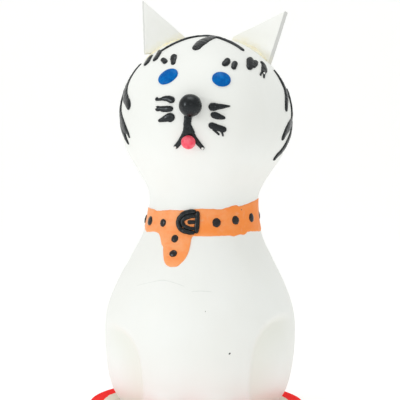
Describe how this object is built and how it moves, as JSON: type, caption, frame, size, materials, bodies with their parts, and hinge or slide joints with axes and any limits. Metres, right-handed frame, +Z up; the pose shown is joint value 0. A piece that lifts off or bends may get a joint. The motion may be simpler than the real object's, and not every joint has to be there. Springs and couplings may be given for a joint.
{
  "type": "seated cat figure",
  "caption": "Seated hollow paper cat figure with pointed card ears, raised painted marks, a bead nose and tongue, and a buckled collar, on a round base.",
  "frame": {"origin": "centre of the round base's underside", "axes": "+Z up; the cat faces -Y; +X is the viewer's right from in front"},
  "size_m": [0.1476, 0.1476, 0.2804],
  "materials": {
    "white_enamel": "white gloss enamel over layered paper",
    "painted_board": "sealed beige board with a red painted rim",
    "white_card": "matt white painted card",
    "dried_glue": "dried yellowish white glue",
    "black_relief_paint": "raised black dimensional paint, satin",
    "black_bead": "black painted bead, satin gloss",
    "pink_bead": "pink painted bead, satin gloss",
    "blue_relief_paint": "raised blue paint, gloss",
    "orange_strap": "orange painted paper strip, satin"
  },
  "bodies": {
    "root": {"base_disc": "painted_board", "body_shell_back": "white_enamel", "body_shell_front": "white_enamel", "brow_left_inner": "black_relief_paint", "brow_left_outer": "black_relief_paint", "brow_right_inner": "black_relief_paint", "brow_right_outer": "black_relief_paint", "buckle_prong": "black_relief_paint", "collar_band": "orange_strap", "collar_buckle": "black_relief_paint", "collar_stud_01": "black_relief_paint", "collar_stud_02": "black_relief_paint", "collar_stud_03": "black_relief_paint", "collar_stud_04": "black_relief_paint", "collar_stud_05": "black_relief_paint", "collar_stud_06": "black_relief_paint", "collar_stud_07": "black_relief_paint", "collar_stud_08": "black_relief_paint", "collar_stud_09": "black_relief_paint", "collar_stud_10": "black_relief_paint", "collar_stud_11": "black_relief_paint", "collar_stud_12": "black_relief_paint", "collar_tab": "orange_strap", "crown_drop": "black_relief_paint", "crown_stripe": "black_relief_paint", "ear_glue_left": "dried_glue", "ear_glue_right": "dried_glue", "ear_left": "white_card", "ear_right": "white_card", "eye_left": "blue_relief_paint", "eye_right": "blue_relief_paint", "head_shell_back": "white_enamel", "head_shell_front": "white_enamel", "mouth_left": "black_relief_paint", "mouth_right": "black_relief_paint", "muzzle_stem": "black_relief_paint", "nape_stripe_lower": "black_relief_paint", "nape_stripe_middle": "black_relief_paint", "nape_stripe_upper": "black_relief_paint", "nose_bead": "black_bead", "side_stripe_left_lower": "black_relief_paint", "side_stripe_left_upper": "black_relief_paint", "side_stripe_right_lower": "black_relief_paint", "side_stripe_right_middle": "black_relief_paint", "side_stripe_right_upper": "black_relief_paint", "tab_stud_lower": "black_relief_paint", "tab_stud_upper": "black_relief_paint", "tail": "white_enamel", "temple_left_inner": "black_relief_paint", "temple_left_outer": "black_relief_paint", "temple_right_inner": "black_relief_paint", "temple_right_outer": "black_relief_paint", "tongue_bead": "pink_bead", "whisker_left_lower": "black_relief_paint", "whisker_left_middle": "black_relief_paint", "whisker_left_upper": "black_relief_paint", "whisker_right_lower": "black_relief_paint", "whisker_right_middle": "black_relief_paint", "whisker_right_upper": "black_relief_paint"}
  },
  "joints": []
}
